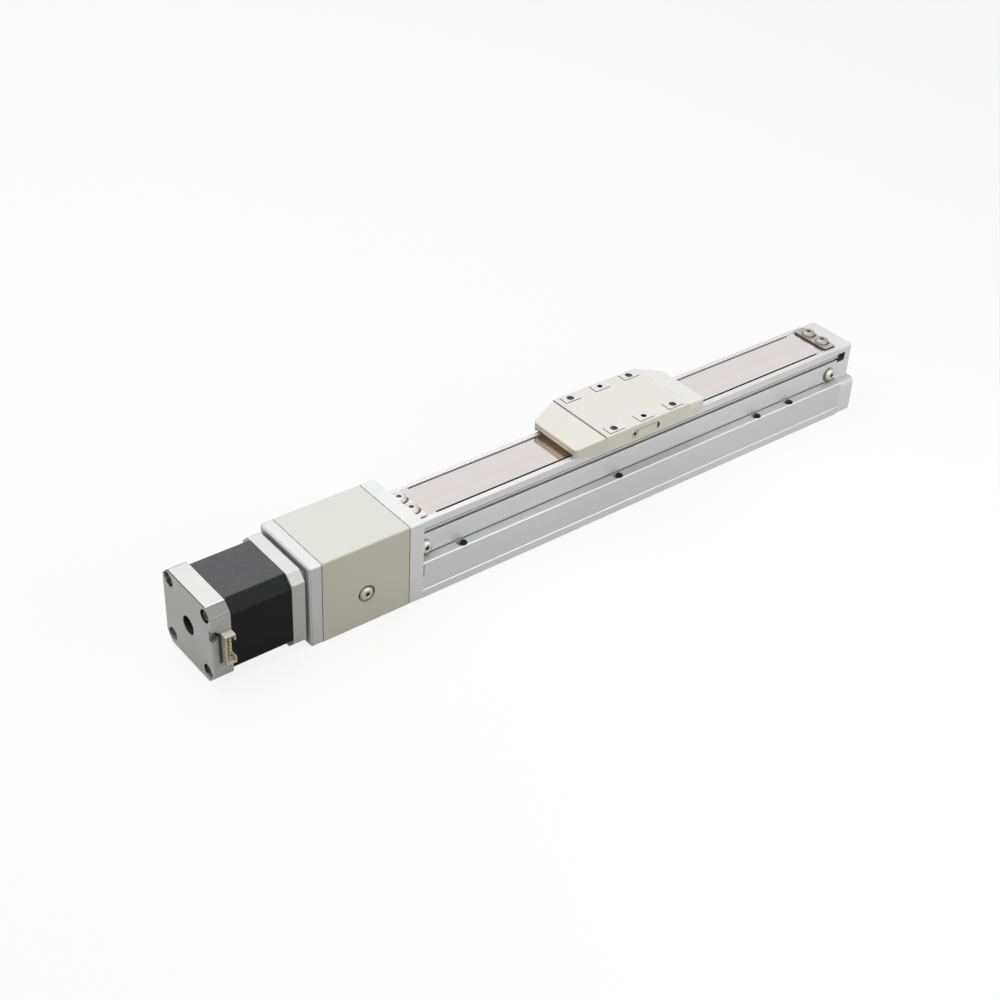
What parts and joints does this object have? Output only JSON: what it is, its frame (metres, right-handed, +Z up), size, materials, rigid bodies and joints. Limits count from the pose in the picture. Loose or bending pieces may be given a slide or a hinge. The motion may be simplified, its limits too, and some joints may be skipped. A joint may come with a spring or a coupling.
{
  "type": "ball screw slide table",
  "caption": "Motor-driven linear slide: a stepper turns a ball screw inside an open-topped aluminium body, moving a cream table along its steel cover belt.",
  "frame": {"origin": "middle of the aluminium body's flat underside, where it is bolted to a machine", "axes": "+X along the ball screw from the motor to the far end, +Y across, away from the motor's connector, +Z up through the table"},
  "size_m": [0.4146, 0.0469, 0.0512],
  "materials": {
    "body_aluminium": "satin silver anodised",
    "cast_aluminium": "machined, fine grained",
    "black_paint": "semi-matt black",
    "cream_plastic": "fine-grained cream",
    "belt_steel": "polished stainless strip",
    "plated_steel": "bright plated",
    "dark_steel": "dark plated",
    "ground_steel": "ground",
    "bumper_rubber": "matt black",
    "spider_plastic": "red polyurethane",
    "wiper_plastic": "dark brown",
    "copper_wire": "enamelled copper",
    "brass": "turned brass",
    "connector_plastic": "natural white",
    "board_green": "green lacquer"
  },
  "bodies": {
    "slide_body": {"base_extrusion": "body_aluminium", "motor_end_block": "body_aluminium", "far_end_cap": "body_aluminium", "motor_adaptor_plate": "body_aluminium", "coupling_bracket": "body_aluminium", "bearing_retainer": "body_aluminium", "motor_rear_cap": "cast_aluminium", "motor_front_flange": "cast_aluminium", "motor_stack": "black_paint", "coupling_cover": "cream_plastic", "steel_belt": "belt_steel", "belt_clamp_motor_end": "plated_steel", "belt_clamp_far_end": "plated_steel", "belt_clamp_screws": "plated_steel", "body_side_screws": "plated_steel", "coupling_cover_screws": "plated_steel", "end_block_screws": "dark_steel", "far_cap_screws": "dark_steel", "retainer_screws": "dark_steel", "motor_mount_screws": "dark_steel", "motor_tie_screws": "dark_steel", "guide_rail_left": "ground_steel", "guide_rail_right": "ground_steel", "fixed_bearing_outer_rings": "ground_steel", "support_bearing_outer_ring": "ground_steel", "motor_bearing_outer_rings": "ground_steel", "bumper_motor_end": "bumper_rubber", "bumper_far_end": "bumper_rubber", "motor_windings": "copper_wire", "connector_pins": "brass", "connector_shell": "connector_plastic", "connector_board": "board_green"},
    "screw_and_rotor": {"ball_screw": "ground_steel", "bearing_lock_nut": "dark_steel", "fixed_bearing_inner_rings": "ground_steel", "support_bearing_inner_ring": "ground_steel", "coupling_hub_screw_side": "body_aluminium", "coupling_spider": "spider_plastic", "coupling_hub_motor_side": "body_aluminium", "coupling_clamp_screws": "dark_steel", "motor_shaft": "ground_steel", "motor_rotor": "ground_steel", "motor_bearing_inner_rings": "ground_steel"},
    "table": {"carriage_block": "body_aluminium", "guide_block_left": "ground_steel", "guide_block_right": "ground_steel", "guide_end_caps": "wiper_plastic", "ball_nut": "ground_steel", "ball_nut_screws": "dark_steel", "table_plate": "body_aluminium", "table_plate_screws": "dark_steel", "grease_port": "brass", "table_cover": "cream_plastic", "table_end_cover_motor": "cream_plastic", "table_end_cover_far": "cream_plastic", "belt_wiper_motor": "wiper_plastic", "belt_wiper_far": "wiper_plastic"}
  },
  "joints": [
    {"name": "screw_spin", "type": "hinge", "parent": "slide_body", "child": "screw_and_rotor", "pos_m": [0, 0, 0.0232], "axis": [1, 0, 0], "range_deg": [-3240, 2880]},
    {"name": "table_slide", "type": "slide", "parent": "slide_body", "child": "table", "axis": [1, 0, 0], "range_m": [-0.08, 0.09]}
  ],
  "couplings": [
    {"joint": "screw_spin", "follows": "table_slide", "rad_per_m": -628.32}
  ]
}
